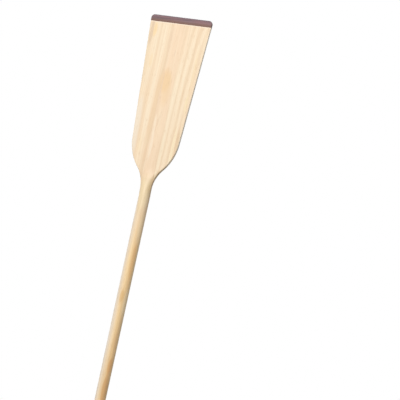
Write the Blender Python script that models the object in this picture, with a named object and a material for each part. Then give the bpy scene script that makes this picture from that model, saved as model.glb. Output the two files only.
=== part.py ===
# Dragon boat paddle, drawn upright with the blade up.
# X runs across the blade, the flat face looks towards -Y, the ridge towards +Y.
# The origin lies on the shaft's centre line, level with the outermost line of the handle.
import math

import bmesh
import bpy

# Overall sizes, metres
TOTAL_LENGTH = 1.270
BLADE_LENGTH = 0.480
BLADE_WIDTH = 0.177
EDGE_TAPER_DEG = 3.6
SHOULDER_RADIUS = 0.132
THROAT_RADIUS = 0.0825
TIP_CORNER_RADIUS = 0.010
# Side boards of the blade
BOARD_ROOT_THICKNESS = 0.012
BOARD_TIP_THICKNESS = 0.008
FACE_OFFSET = 0.009
EDGE_ROUND = 0.002
TIP_END_ROUND = 0.0002
TIP_STRIP_HEIGHT = 0.019
# Middle strip of the blade, with its ridge
SPINE_WIDTH = 0.0345
RIDGE_FADE_POWER = 1.15
RIDGE_CREST_POWER = 1.1
FACE_FADE_LENGTH = 0.032
# Shaft
SHAFT_DIA_NECK = 0.031
SHAFT_DIA_GRIP = 0.028
NECK_BLEND_LENGTH = 0.020
# Joint between the middle strip and the side boards
TONGUE_DEPTH = 0.005
TONGUE_THICKNESS = 0.003
WING_STEP = 0.0025
# Hidden loose tongue under the tip strip
SPLINE_END_COVER = 0.0142
SPLINE_HEIGHT = 0.014
SPLINE_THICKNESS = 0.003
# T handle
GRIP_LENGTH = 0.112
GRIP_DIA = 0.033
GRIP_WAIST_DIA = 0.030
GRIP_SWELL_FROM = 0.0084
GRIP_SWELL_TO = 0.042
GRIP_STEM_HEIGHT = 0.058
GRIP_END_ROUND = 0.011
STEM_FLARE = 0.012
STEM_FLARE_POWER = 2.2
STEM_FOOT_DEPTH = 0.0291
TENON_DIA = 0.020
TENON_LENGTH = 0.034
TENON_LEAD = 0.0016
PIN_DIA = 0.006
PIN_ABOVE_TENON_END = 0.0197
PIN_INSET = 0.0002
# Gaps between pieces that touch
WING_GAP = 0.0003
TIP_GAP = 0.0003
SPLINE_GAP = 0.0003
TENON_GAP = 0.0003
SHOULDER_GAP = 0.0003
PIN_GAP = 0.0003
# How finely the curves are drawn
FRONT_ARCH = 8
BACK_ARCH = 10
EDGE_ARC = 3
SHAFT_STEPS = 3
NECK_STEPS = 8
SHOULDER_STEPS = 14
STRAIGHT_STEPS = 9
TIP_STEPS = 8
BAR_STEPS = 6
BAR_END_STEPS = 6
STEM_STEPS = 8
ROUND_SIDES = 32
PIN_SIDES = 20
MIN_STEP = 0.00005
HALVINGS = 60
# The bar's round end stops here and leaves a small flat
END_TURN_DEG = 86
# Cutters reach this far past what they cut
CUT_MARGIN = 0.010

NECK_Z = TOTAL_LENGTH - BLADE_LENGTH
STRIP_Z = TOTAL_LENGTH - TIP_STRIP_HEIGHT
CORNER_Z = TOTAL_LENGTH - TIP_CORNER_RADIUS
TAPER = math.radians(EDGE_TAPER_DEG)
NECK_R = SHAFT_DIA_NECK / 2
GRIP_R = SHAFT_DIA_GRIP / 2
SPINE_HALF = SPINE_WIDTH / 2
SHAFT_LOW = GRIP_STEM_HEIGHT + SHOULDER_GAP
TENON_LOW = SHAFT_LOW - TENON_LENGTH
PIN_HEIGHT = TENON_LOW + PIN_ABOVE_TENON_END
MORPH_LOW = NECK_Z - NECK_BLEND_LENGTH
# Wider than anything that is cut
FAR = BLADE_WIDTH + CUT_MARGIN

# The side of the blade is one S curve: throat arc, shoulder arc, straight edge
REACH = BLADE_WIDTH / 2 - NECK_R
RISE = BLADE_LENGTH + SHOULDER_RADIUS * math.sin(TAPER)
LEVER = THROAT_RADIUS + SHOULDER_RADIUS * math.cos(TAPER) + math.tan(TAPER) * RISE - REACH
TURN = TAPER + math.acos(math.cos(TAPER) * LEVER / (THROAT_RADIUS + SHOULDER_RADIUS))
THROAT_TOP = NECK_Z + THROAT_RADIUS * math.sin(TURN)
SHOULDER_TOP = THROAT_TOP + SHOULDER_RADIUS * (math.sin(TURN) - math.sin(TAPER))


def shaft_radius(z):
    """Radius of the round shaft at a height."""
    share = (z - GRIP_STEM_HEIGHT) / (NECK_Z - GRIP_STEM_HEIGHT)
    return GRIP_R + (NECK_R - GRIP_R) * share


def smooth_step(value, low, high):
    """Rises from 0 to 1 between two limits without a corner."""
    share = min(1.0, max(0.0, (value - low) / (high - low)))
    return share * share * (3.0 - 2.0 * share)


def half_width(z):
    """Half the width of the paddle at a height."""
    if z <= NECK_Z:
        return shaft_radius(z)
    if z <= THROAT_TOP:
        rise = z - NECK_Z
        return NECK_R + THROAT_RADIUS - math.sqrt(THROAT_RADIUS ** 2 - rise ** 2)
    if z <= SHOULDER_TOP:
        foot = NECK_R + THROAT_RADIUS * (1 - math.cos(TURN))
        sine = math.sin(TURN) - (z - THROAT_TOP) / SHOULDER_RADIUS
        return foot + SHOULDER_RADIUS * (math.sqrt(1 - sine * sine) - math.cos(TURN))
    return BLADE_WIDTH / 2 - (TOTAL_LENGTH - z) * math.tan(TAPER)


def tip_half_width(z):
    """Half width with the two rounded corners at the tip."""
    if z <= CORNER_Z:
        return half_width(z)
    inner = half_width(CORNER_Z) - TIP_CORNER_RADIUS
    return inner + math.sqrt(max(0.0, TIP_CORNER_RADIUS ** 2 - (z - CORNER_Z) ** 2))


def wing_start():
    """Height where the blade is one step wider than its middle strip."""
    low, high = NECK_Z, THROAT_TOP
    for _ in range(HALVINGS):
        middle = (low + high) / 2
        if half_width(middle) < SPINE_HALF + WING_STEP:
            low = middle
        else:
            high = middle
    return (low + high) / 2


WING_Z = wing_start()


def board_thickness(z):
    share = (z - NECK_Z) / BLADE_LENGTH
    return BOARD_ROOT_THICKNESS + (BOARD_TIP_THICKNESS - BOARD_ROOT_THICKNESS) * share


def ridge_height(z):
    """Height of the ridge above the back of the side boards."""
    share = min(1.0, max(0.0, (STRIP_Z - z) / (STRIP_Z - NECK_Z)))
    root = NECK_R - (board_thickness(NECK_Z) - FACE_OFFSET)
    return root * share ** RIDGE_FADE_POWER


def arc(cx, cy, radius, first_turn, steps):
    """Quarter circle in even steps, with the starting angle in quarter turns."""
    points = []
    for k in range(steps + 1):
        angle = (math.pi / 2) * (first_turn + k / steps)
        points.append((cx + radius * math.cos(angle), cy + radius * math.sin(angle)))
    return points


def blade_ring(z):
    """Cross section of the blade, counter-clockwise from the front left."""
    over = max(0.0, z - (TOTAL_LENGTH - EDGE_ROUND))
    shrink = EDGE_ROUND - math.sqrt(max(0.0, EDGE_ROUND ** 2 - over ** 2))
    # The corners of the section get sharper where the end itself is rounded over
    soft = EDGE_ROUND - shrink * (1 - TIP_END_ROUND / EDGE_ROUND)
    low = -FACE_OFFSET + shrink
    high = -FACE_OFFSET + board_thickness(z) - shrink
    side = tip_half_width(z) - soft
    flattened = smooth_step(z, NECK_Z, WING_Z + FACE_FADE_LENGTH)
    bulge = (NECK_R - FACE_OFFSET) * (1 - flattened)
    # The ridge is round at the neck and comes to a crest further up
    power = 2.0 + (RIDGE_CREST_POWER - 2.0) * flattened
    points = [(-side, low)]
    for k in range(FRONT_ARCH + 1):
        share = -1.0 + 2.0 * k / FRONT_ARCH
        points.append((SPINE_HALF * share, low - bulge * (1 - share * share)))
    points += arc(side, low + soft, soft, -1, EDGE_ARC)
    points += arc(side, high - soft, soft, 0, EDGE_ARC)
    for k in range(BACK_ARCH + 1):
        share = math.cos(math.pi * k / BACK_ARCH)
        lift = (1 - abs(share) ** power) ** (1 / power)
        points.append((SPINE_HALF * share, high + ridge_height(z) * lift))
    points += arc(-side, high - soft, soft, 1, EDGE_ARC)
    points += arc(-side, low + soft, soft, 2, EDGE_ARC)[:-1]
    return points


def round_ring(radius, count):
    """Circle whose points match the blade section's points in order."""
    start = -math.pi / 2 - 2 * math.pi * (FRONT_ARCH / 2 + 1) / count
    points = []
    for k in range(count):
        angle = start + 2 * math.pi * k / count
        points.append((radius * math.cos(angle), radius * math.sin(angle)))
    return points


def paddle_ring(z):
    """Section at any height: round shaft, blade, or a blend at the neck."""
    board = blade_ring(max(z, WING_Z))
    if z >= WING_Z:
        return board
    circle_points = round_ring(shaft_radius(min(z, NECK_Z)), len(board))
    share = smooth_step(z, MORPH_LOW, WING_Z)
    ring = []
    for (cx, cy), (bx, by) in zip(circle_points, board):
        ring.append((cx + (bx - cx) * share, cy + (by - cy) * share))
    stretch = half_width(z) / max(x for x, _ in ring)
    return [(x * stretch, y) for x, y in ring]


def even(low, high, steps):
    """Heights above the lower limit up to the upper one."""
    return [low + (high - low) * k / steps for k in range(1, steps + 1)]


def levels():
    """Heights of the sections from the handle's end of the shaft to the tip."""
    found = [SHAFT_LOW]
    found += even(SHAFT_LOW, MORPH_LOW, SHAFT_STEPS)
    found += even(MORPH_LOW, WING_Z, NECK_STEPS)
    found += even(WING_Z, SHOULDER_TOP, SHOULDER_STEPS)
    found += even(SHOULDER_TOP, STRIP_Z, STRAIGHT_STEPS)
    found += [z for _, z in arc(0.0, CORNER_Z, TIP_CORNER_RADIUS, 0, TIP_STEPS)]
    found.sort()
    kept = [found[0]]
    for z in found[1:]:
        if z - kept[-1] > MIN_STEP:
            kept.append(z)
    return kept


def loft(rows, name):
    """Closed solid through rows of points, with a flat cap at both ends."""
    bm = bmesh.new()
    lines = [[bm.verts.new(point) for point in row] for row in rows]
    count = len(lines[0])
    for low, high in zip(lines, lines[1:]):
        for k in range(count):
            j = (k + 1) % count
            bm.faces.new((low[k], low[j], high[j], high[k]))
    bm.faces.new(list(reversed(lines[0])))
    bm.faces.new(lines[-1])
    bmesh.ops.recalc_face_normals(bm, faces=bm.faces)
    mesh = bpy.data.meshes.new(name)
    bm.to_mesh(mesh)
    bm.free()
    item = bpy.data.objects.new(name, mesh)
    bpy.context.scene.collection.objects.link(item)
    return item


def stack(rings, name):
    """Solid through outlines that lie level, each given with its height."""
    return loft([[(x, y, z) for x, y in ring] for z, ring in rings], name)


def box(x0, x1, y0, y1, z0, z1, name):
    outline = [(x0, y0), (x1, y0), (x1, y1), (x0, y1)]
    return stack([(z0, outline), (z1, outline)], name)


def rod_across(outline, reach, name):
    """Straight rod from front to back, on an outline in X and Z."""
    return loft([[(x, y, z) for x, z in outline] for y in (-reach, reach)], name)


def circle(radius, sides=ROUND_SIDES, cx=0.0, cy=0.0, turn=0.5):
    points = []
    for k in range(sides):
        angle = 2 * math.pi * (k + turn) / sides
        points.append((cx + radius * math.cos(angle), cy + radius * math.sin(angle)))
    return points


def combine(item, other, operation):
    """Boolean of two solids; the second one is used up."""
    change = item.modifiers.new("cut", "BOOLEAN")
    change.operation = operation
    change.solver = "EXACT"
    change.object = other
    bpy.context.view_layer.update()
    graph = bpy.context.evaluated_depsgraph_get()
    result = bpy.data.meshes.new_from_object(item.evaluated_get(graph))
    item.modifiers.clear()
    item.data = result
    bpy.data.objects.remove(other, do_unlink=True)


def copy_of(item, name):
    twin = bpy.data.objects.new(name, item.data.copy())
    bpy.context.scene.collection.objects.link(twin)
    return twin


def wing_profile(side, gap):
    """Outline that keeps one side board with its tongue."""
    middle = -FACE_OFFSET + board_thickness(WING_Z) / 2
    root = SPINE_HALF + gap
    tongue = SPINE_HALF - TONGUE_DEPTH + gap
    half = TONGUE_THICKNESS / 2 - gap
    points = [(root, -FAR), (FAR, -FAR), (FAR, FAR), (root, FAR), (root, middle + half),
              (tongue, middle + half), (tongue, middle - half), (root, middle - half)]
    if side < 0:
        points = [(-x, y) for x, y in reversed(points)]
    return points


def bar_radius(x):
    """Radius of the handle's bar: a little slimmer in the middle, round at the ends."""
    half = GRIP_LENGTH / 2
    swell = smooth_step(abs(x), GRIP_SWELL_FROM, GRIP_SWELL_TO)
    radius = (GRIP_WAIST_DIA + (GRIP_DIA - GRIP_WAIST_DIA) * swell) / 2
    into = max(0.0, abs(x) - (half - GRIP_END_ROUND))
    return radius - GRIP_END_ROUND + math.sqrt(max(0.0, GRIP_END_ROUND ** 2 - into ** 2))


def handle_bar():
    """Turned bar along X whose thickest rings reach down to the origin's level."""
    round_from = GRIP_LENGTH / 2 - GRIP_END_ROUND
    ahead = [0.0] + even(0.0, round_from, BAR_STEPS)
    for k in range(1, BAR_END_STEPS + 1):
        turn = math.radians(END_TURN_DEG) * k / BAR_END_STEPS
        ahead.append(round_from + GRIP_END_ROUND * math.sin(turn))
    places = [-x for x in reversed(ahead[1:])] + ahead
    rows = []
    for x in places:
        ring = circle(bar_radius(x), cy=GRIP_DIA / 2, turn=0.0)
        rows.append([(x, y, z) for y, z in ring])
    return loft(rows, "t_grip")


def handle_stem():
    """Stem from the bar's axis up to the shaft, flared along the bar only."""
    rings = []
    for k in range(STEM_STEPS + 1):
        share = k / STEM_STEPS
        wide = GRIP_R + STEM_FLARE * (1 - share) ** STEM_FLARE_POWER
        deep = STEM_FOOT_DEPTH / 2 + (GRIP_R - STEM_FOOT_DEPTH / 2) * share
        z = GRIP_DIA / 2 + (GRIP_STEM_HEIGHT - GRIP_DIA / 2) * share
        rings.append((z, [(a * wide, b * deep) for a, b in circle(1.0)]))
    return stack(rings, "stem")


def wood(name, colour, roughness):
    material = bpy.data.materials.new(name)
    material.use_nodes = True
    shader = material.node_tree.nodes["Principled BSDF"]
    shader.inputs["Base Color"].default_value = (*colour, 1.0)
    shader.inputs["Roughness"].default_value = roughness
    return material


def dress(item, name, material, smooth=True):
    """Gives a finished piece its name, its wood and its shading."""
    item.name = name
    item.data.name = name
    item.data.materials.clear()
    item.data.materials.append(material)
    for face in item.data.polygons:
        face.material_index = 0
        face.use_smooth = smooth


for old in list(bpy.data.objects):
    bpy.data.objects.remove(old, do_unlink=True)

# The whole outside is drawn once, then sawn into its pieces
spine = stack([(z, paddle_ring(z)) for z in levels()], "whole")

# Tip strip
tip = copy_of(spine, "tip")
combine(tip, box(-FAR, FAR, -FAR, FAR, STRIP_Z, TOTAL_LENGTH + FAR, "keep"), "INTERSECT")
combine(spine, box(-FAR, FAR, -FAR, FAR, STRIP_Z - TIP_GAP, TOTAL_LENGTH + FAR, "off"), "DIFFERENCE")

# Side boards, which leave the middle strip with the shaft
boards = []
for side in (-1, 1):
    board = copy_of(spine, "board")
    profile = wing_profile(side, WING_GAP)
    combine(board, stack([(WING_Z + WING_GAP, profile), (TOTAL_LENGTH, profile)], "keep"), "INTERSECT")
    boards.append(board)
for side in (-1, 1):
    profile = wing_profile(side, 0.0)
    combine(spine, stack([(WING_Z, profile), (TOTAL_LENGTH, profile)], "off"), "DIFFERENCE")

# Loose tongue between tip strip and boards, and the slot for it
joint_z = STRIP_Z - TIP_GAP / 2
joint_y = -FACE_OFFSET + board_thickness(STRIP_Z) / 2
spline_x = half_width(STRIP_Z) - SPLINE_END_COVER
spline_y = SPLINE_THICKNESS / 2
spline_z = SPLINE_HEIGHT / 2
slot_x, slot_y, slot_z = spline_x + SPLINE_GAP, spline_y + SPLINE_GAP, spline_z + SPLINE_GAP
for item in (tip, spine, *boards):
    slot = box(-slot_x, slot_x, joint_y - slot_y, joint_y + slot_y,
               joint_z - slot_z, joint_z + slot_z, "slot")
    combine(item, slot, "DIFFERENCE")
spline = box(-spline_x, spline_x, joint_y - spline_y, joint_y + spline_y,
             joint_z - spline_z, joint_z + spline_z, "spline")

# Tenon under the shaft, with a small lead at its end
tenon = stack([
    (TENON_LOW, circle(TENON_DIA / 2 - TENON_LEAD)),
    (TENON_LOW + TENON_LEAD, circle(TENON_DIA / 2)),
    (SHAFT_LOW + TENON_LENGTH / 2, circle(TENON_DIA / 2)),
], "tenon")
combine(spine, tenon, "UNION")

# Handle with a blind hole for the tenon
grip = handle_bar()
combine(grip, handle_stem(), "UNION")
bore = circle(TENON_DIA / 2 + TENON_GAP)
bore_top = GRIP_STEM_HEIGHT + CUT_MARGIN
combine(grip, stack([(TENON_LOW - TENON_GAP, bore), (bore_top, bore)], "bore"), "DIFFERENCE")

# Cross pin through handle and tenon
for item in (grip, spine):
    hole = circle(PIN_DIA / 2 + PIN_GAP, PIN_SIDES, 0.0, PIN_HEIGHT)
    combine(item, rod_across(hole, GRIP_DIA / 2 + CUT_MARGIN, "hole"), "DIFFERENCE")
pin = rod_across(circle(PIN_DIA / 2, PIN_SIDES, 0.0, PIN_HEIGHT), GRIP_R - PIN_INSET, "pin")

dress(spine, "shaft_spine", wood("shaft_wood", (0.80, 0.60, 0.38), 0.45))
dress(boards[0], "wing_left", wood("left_board_wood", (0.88, 0.70, 0.48), 0.45))
dress(boards[1], "wing_right", wood("right_board_wood", (0.87, 0.69, 0.47), 0.45))
dress(tip, "blade_tip", wood("tip_hardwood", (0.24, 0.15, 0.14), 0.40))
dress(spline, "tip_spline", wood("spline_wood", (0.55, 0.38, 0.22), 0.60), smooth=False)
dress(grip, "t_grip", wood("handle_wood", (0.78, 0.58, 0.36), 0.42))
dress(pin, "grip_dowel_pin", wood("pin_wood", (0.50, 0.33, 0.18), 0.50))
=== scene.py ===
# Dragon boat paddle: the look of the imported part, its studio and its camera.
# Same frame as the part: metres, blade up, flat face towards -Y, ridge towards +Y.
import math

import bmesh
import bpy
from mathutils import Matrix, Vector


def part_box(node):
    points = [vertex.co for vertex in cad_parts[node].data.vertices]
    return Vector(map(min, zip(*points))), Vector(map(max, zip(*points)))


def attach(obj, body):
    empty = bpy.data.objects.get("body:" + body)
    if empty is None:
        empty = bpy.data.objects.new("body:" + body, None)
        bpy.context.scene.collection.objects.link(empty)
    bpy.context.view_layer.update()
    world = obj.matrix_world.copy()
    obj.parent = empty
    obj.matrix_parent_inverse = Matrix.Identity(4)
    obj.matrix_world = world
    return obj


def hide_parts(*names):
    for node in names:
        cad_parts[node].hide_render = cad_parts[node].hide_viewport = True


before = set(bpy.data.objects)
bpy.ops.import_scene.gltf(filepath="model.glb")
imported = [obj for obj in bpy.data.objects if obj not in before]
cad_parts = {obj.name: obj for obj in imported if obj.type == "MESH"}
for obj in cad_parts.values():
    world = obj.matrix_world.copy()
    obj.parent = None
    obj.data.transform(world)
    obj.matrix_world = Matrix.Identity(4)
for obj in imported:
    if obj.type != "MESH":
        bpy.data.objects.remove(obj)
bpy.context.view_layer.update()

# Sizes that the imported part's boxes give, metres
tip_low, tip_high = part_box("blade_tip")
grip_low, grip_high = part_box("t_grip")
pin_low, pin_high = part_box("grip_dowel_pin")
spline_low, spline_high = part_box("tip_spline")
TOTAL_LENGTH = tip_high.z
STRIP_Z = tip_low.z
FACE_OFFSET = -tip_low.y
GRIP_DIA = grip_high.y - grip_low.y
GRIP_STEM_HEIGHT = grip_high.z
TENON_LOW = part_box("shaft_spine")[0].z
PIN_HEIGHT = (pin_low.z + pin_high.z) / 2
# Sizes that the boxes don't show, or show a little short where a round is packed in flat facets
BLADE_LENGTH = 0.480
BLADE_WIDTH = 0.177
EDGE_TAPER_DEG = 3.6
SHOULDER_RADIUS = 0.132
THROAT_RADIUS = 0.0825
TIP_CORNER_RADIUS = 0.010
BOARD_ROOT_THICKNESS = 0.012
BOARD_TIP_THICKNESS = 0.008
EDGE_ROUND = 0.002
TIP_END_ROUND = 0.0002
SPINE_WIDTH = 0.0345
RIDGE_FADE_POWER = 1.15
RIDGE_CREST_POWER = 1.1
FACE_FADE_LENGTH = 0.032
SHAFT_DIA_NECK = 0.031
SHAFT_DIA_GRIP = 0.028
NECK_BLEND_LENGTH = 0.020
TONGUE_DEPTH = 0.005
TONGUE_THICKNESS = 0.003
WING_STEP = 0.0025
GRIP_LENGTH = 0.112
GRIP_WAIST_DIA = 0.030
GRIP_SWELL_FROM = 0.0084
GRIP_SWELL_TO = 0.042
GRIP_END_ROUND = 0.011
STEM_FLARE = 0.012
STEM_FLARE_POWER = 2.2
STEM_FOOT_DEPTH = 0.0291
TENON_DIA = 0.020
TENON_LEAD = 0.0016
PIN_DIA = 0.006
JOINT_GAP = 0.0003
# Glued seams are closed up to a hair here
SEAM_GAP = 0.00004
SEAM_CHAMFER = 0.00008
# A narrow row of faces along each edge keeps the flat faces flat where normals are smoothed
FACE_MARGIN = 0.0008
# How finely the surfaces are drawn
FRONT_STEPS = 24
BACK_STEPS = 48
EDGE_STEPS = 6
FACE_STEPS = 12
SHAFT_ROWS = 16
NECK_ROWS = 28
SHOULDER_ROWS = 56
STRAIGHT_ROWS = 24
STRIP_ROWS = 6
CORNER_ROWS = 24
BAR_ROWS = 24
BAR_END_ROWS = 14
BAR_END_TURN_DEG = 88
STEM_ROWS = 32
STEM_OVERSHOOT = 0.004
GRIP_VOXEL = 0.0009
ROUND_SIDES = 64
PIN_SIDES = 48
HALVINGS = 60

NECK_Z = TOTAL_LENGTH - BLADE_LENGTH
CORNER_Z = TOTAL_LENGTH - TIP_CORNER_RADIUS
TAPER = math.radians(EDGE_TAPER_DEG)
NECK_R = SHAFT_DIA_NECK / 2
GRIP_R = SHAFT_DIA_GRIP / 2
SPINE_HALF = SPINE_WIDTH / 2
MORPH_LOW = NECK_Z - NECK_BLEND_LENGTH
# The side of the blade is one S curve: throat arc, shoulder arc, straight edge
REACH = BLADE_WIDTH / 2 - NECK_R
RISE = BLADE_LENGTH + SHOULDER_RADIUS * math.sin(TAPER)
LEVER = THROAT_RADIUS + SHOULDER_RADIUS * math.cos(TAPER) + math.tan(TAPER) * RISE - REACH
TURN = TAPER + math.acos(math.cos(TAPER) * LEVER / (THROAT_RADIUS + SHOULDER_RADIUS))
THROAT_TOP = NECK_Z + THROAT_RADIUS * math.sin(TURN)
SHOULDER_TOP = THROAT_TOP + SHOULDER_RADIUS * (math.sin(TURN) - math.sin(TAPER))


# Shape of the paddle
def smooth_step(value, low, high):
    """Rises from 0 to 1 between two limits without a corner."""
    share = min(1.0, max(0.0, (value - low) / (high - low)))
    return share * share * (3.0 - 2.0 * share)


def shaft_radius(z):
    """Radius of the round shaft at a height."""
    share = (z - GRIP_STEM_HEIGHT) / (NECK_Z - GRIP_STEM_HEIGHT)
    return GRIP_R + (NECK_R - GRIP_R) * share


def half_width(z):
    """Half the width of the paddle: shaft, throat arc, shoulder arc, straight edge."""
    if z <= NECK_Z:
        return shaft_radius(z)
    if z <= THROAT_TOP:
        return NECK_R + THROAT_RADIUS - math.sqrt(THROAT_RADIUS ** 2 - (z - NECK_Z) ** 2)
    if z <= SHOULDER_TOP:
        foot = NECK_R + THROAT_RADIUS * (1 - math.cos(TURN))
        sine = math.sin(TURN) - (z - THROAT_TOP) / SHOULDER_RADIUS
        return foot + SHOULDER_RADIUS * (math.sqrt(1 - sine * sine) - math.cos(TURN))
    return BLADE_WIDTH / 2 - (TOTAL_LENGTH - z) * math.tan(TAPER)


def tip_half_width(z):
    """Half width with the two rounded corners at the tip."""
    if z <= CORNER_Z:
        return half_width(z)
    inner = half_width(CORNER_Z) - TIP_CORNER_RADIUS
    return inner + math.sqrt(max(0.0, TIP_CORNER_RADIUS ** 2 - (z - CORNER_Z) ** 2))


def height_where(width, low, high):
    """Height between two limits where the half width reaches a value."""
    for _ in range(HALVINGS):
        middle = (low + high) / 2
        if half_width(middle) < width:
            low = middle
        else:
            high = middle
    return (low + high) / 2


def board_thickness(z):
    """Thickness of the side boards, which thin out towards the tip."""
    share = (z - NECK_Z) / BLADE_LENGTH
    return BOARD_ROOT_THICKNESS + (BOARD_TIP_THICKNESS - BOARD_ROOT_THICKNESS) * share


# The side boards begin where the throat has grown a step wider than the middle strip
WING_Z = height_where(SPINE_HALF + WING_STEP, NECK_Z, THROAT_TOP)
TONGUE_Y = -FACE_OFFSET + board_thickness(WING_Z) / 2


def ridge_height(z):
    """How far the ridge stands out of the boards' back."""
    share = min(1.0, max(0.0, (STRIP_Z - z) / (STRIP_Z - NECK_Z)))
    root = NECK_R - (board_thickness(NECK_Z) - FACE_OFFSET)
    return root * share ** RIDGE_FADE_POWER


def flattened(z):
    """0 where the shaft is round, 1 where the blade has its full form."""
    return smooth_step(z, NECK_Z, WING_Z + FACE_FADE_LENGTH)


def arc(cx, cy, radius, first_turn, steps):
    """Quarter of a circle that starts after some quarter turns."""
    points = []
    for k in range(steps + 1):
        angle = (math.pi / 2) * (first_turn + k / steps)
        points.append((cx + radius * math.cos(angle), cy + radius * math.sin(angle)))
    return points


def circle(radius, sides):
    """Points on a circle, half a step off the axes."""
    turns = [2 * math.pi * (k + 0.5) / sides for k in range(sides)]
    return [(radius * math.cos(turn), radius * math.sin(turn)) for turn in turns]


def rectangle(low_x, low_y, high_x, high_y):
    """Corners in order."""
    return [(low_x, low_y), (high_x, low_y), (high_x, high_y), (low_x, high_y)]


def even(low, high, steps):
    """Even steps from one value to another, without the first value."""
    return [low + (high - low) * k / steps for k in range(1, steps + 1)]


def between(start, end, steps):
    """Points from one to the other, ends included."""
    line = []
    for k in range(steps + 1):
        line.append(tuple(a + (b - a) * k / steps for a, b in zip(start, end)))
    return line


def mirrored(points):
    """The same points on the other side, in the opposite order."""
    return [(-x, y) for x, y in reversed(points)]


def front_arch(z):
    """Front of the middle strip, from left to right."""
    bulge = (NECK_R - FACE_OFFSET) * (1 - flattened(z))
    points = []
    for k in range(FRONT_STEPS + 1):
        share = -1.0 + 2.0 * k / FRONT_STEPS
        points.append((SPINE_HALF * share, -FACE_OFFSET - bulge * (1 - share * share)))
    return points


def back_arch(z):
    """Ridge on the back, from right to left."""
    power = 2.0 + (RIDGE_CREST_POWER - 2.0) * flattened(z)
    high = -FACE_OFFSET + board_thickness(z)
    points = []
    for k in range(BACK_STEPS + 1):
        share = math.cos(math.pi * k / BACK_STEPS)
        lift = (1 - abs(share) ** power) ** (1 / power)
        points.append((SPINE_HALF * share, high + ridge_height(z) * lift))
    return points


def edge_turn(z):
    """Outer edge of the right side board, from its front to its back."""
    over = max(0.0, z - (TOTAL_LENGTH - EDGE_ROUND))
    shrink = EDGE_ROUND - math.sqrt(max(0.0, EDGE_ROUND ** 2 - over ** 2))
    soft = EDGE_ROUND - shrink * (1 - TIP_END_ROUND / EDGE_ROUND)
    low = -FACE_OFFSET + shrink
    high = -FACE_OFFSET + board_thickness(z) - shrink
    side = tip_half_width(z) - soft
    return arc(side, low + soft, soft, -1, EDGE_STEPS) + arc(side, high - soft, soft, 0, EDGE_STEPS)


def tongue_points(x_root, x_end, half):
    """Tongue or groove between a side board and the middle strip, from front to back."""
    return [(x_root, TONGUE_Y - half), (x_end, TONGUE_Y - half),
            (x_end, TONGUE_Y + half), (x_root, TONGUE_Y + half)]


def neck_ring(z):
    """Round shaft that grows into the blade's section, measured outward from the axis."""
    share = smooth_step(z, MORPH_LOW, WING_Z)
    radius = shaft_radius(min(z, NECK_Z))
    turn = edge_turn(WING_Z)
    target = front_arch(WING_Z) + turn + back_arch(WING_Z) + mirrored(turn)
    ring = []
    for x, y in target:
        far = math.hypot(x, y)
        scale = (radius + (far - radius) * share) / far
        ring.append((x * scale, y * scale))
    stretch = half_width(z) / max(x for x, _ in ring)
    return [(x * stretch, y) for x, y in ring]


def tenon_ring(radius):
    """Circle with as many points as the shaft's rings, in the same directions."""
    ring = []
    for x, y in neck_ring(GRIP_STEM_HEIGHT):
        far = math.hypot(x, y)
        ring.append((x * radius / far, y * radius / far))
    return ring


def blade_heights(low, high):
    """Heights of the blade's rows, closer together where its outline is curved."""
    heights = even(WING_Z, SHOULDER_TOP, SHOULDER_ROWS) + even(SHOULDER_TOP, STRIP_Z, STRAIGHT_ROWS)
    return [low] + [z for z in heights if low < z < high] + [high]


def bar_radius(x):
    """Radius of the handle's bar, thinnest in the middle and rounded off at its ends."""
    swell = smooth_step(abs(x), GRIP_SWELL_FROM, GRIP_SWELL_TO)
    radius = (GRIP_WAIST_DIA + (GRIP_DIA - GRIP_WAIST_DIA) * swell) / 2
    into = max(0.0, abs(x) - (GRIP_LENGTH / 2 - GRIP_END_ROUND))
    return radius - GRIP_END_ROUND + math.sqrt(max(0.0, GRIP_END_ROUND ** 2 - into ** 2))


def stem_size(z):
    """Half width and half depth of the handle's stem."""
    share = min(1.0, (z - GRIP_DIA / 2) / (GRIP_STEM_HEIGHT - GRIP_DIA / 2))
    wide = GRIP_R + STEM_FLARE * (1 - share) ** STEM_FLARE_POWER
    deep = STEM_FOOT_DEPTH / 2 + (GRIP_R - STEM_FOOT_DEPTH / 2) * share
    return wide, deep


# Mesh tools
# Edges that turn by more than this stay sharp
SHARP_DEG = 80


def shade_smooth(mesh, sharp_deg):
    """Smooth shading that stops at sharp edges."""
    for face in mesh.polygons:
        face.use_smooth = True
    mesh.set_sharp_from_angle(angle=math.radians(sharp_deg))


def new_piece(bm, name, sharp_deg=SHARP_DEG):
    """Object made of a finished mesh."""
    bmesh.ops.recalc_face_normals(bm, faces=bm.faces)
    mesh = bpy.data.meshes.new(name)
    bm.to_mesh(mesh)
    bm.free()
    shade_smooth(mesh, sharp_deg)
    piece = bpy.data.objects.new(name, mesh)
    bpy.context.scene.collection.objects.link(piece)
    return piece


def new_row(bm, points, z):
    """Points of a flat row at a height."""
    return [bm.verts.new((x, y, z)) for x, y in points]


def bridge(bm, low, high):
    """Band of faces between two closed rows of points."""
    count = len(low)
    for k in range(count):
        j = (k + 1) % count
        bm.faces.new((low[k], low[j], high[j], high[k]))


def loft(rows, name, sharp_deg=SHARP_DEG):
    """Closed solid through rows of points of equal length."""
    bm = bmesh.new()
    lines = [[bm.verts.new(point) for point in row] for row in rows]
    for low, high in zip(lines, lines[1:]):
        bridge(bm, low, high)
    bm.faces.new(list(reversed(lines[0])))
    bm.faces.new(lines[-1])
    return new_piece(bm, name, sharp_deg)


def stack(rings, name, sharp_deg=SHARP_DEG):
    """Closed solid through flat rings at given heights."""
    return loft([[(x, y, z) for x, y in ring] for z, ring in rings], name, sharp_deg)


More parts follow.
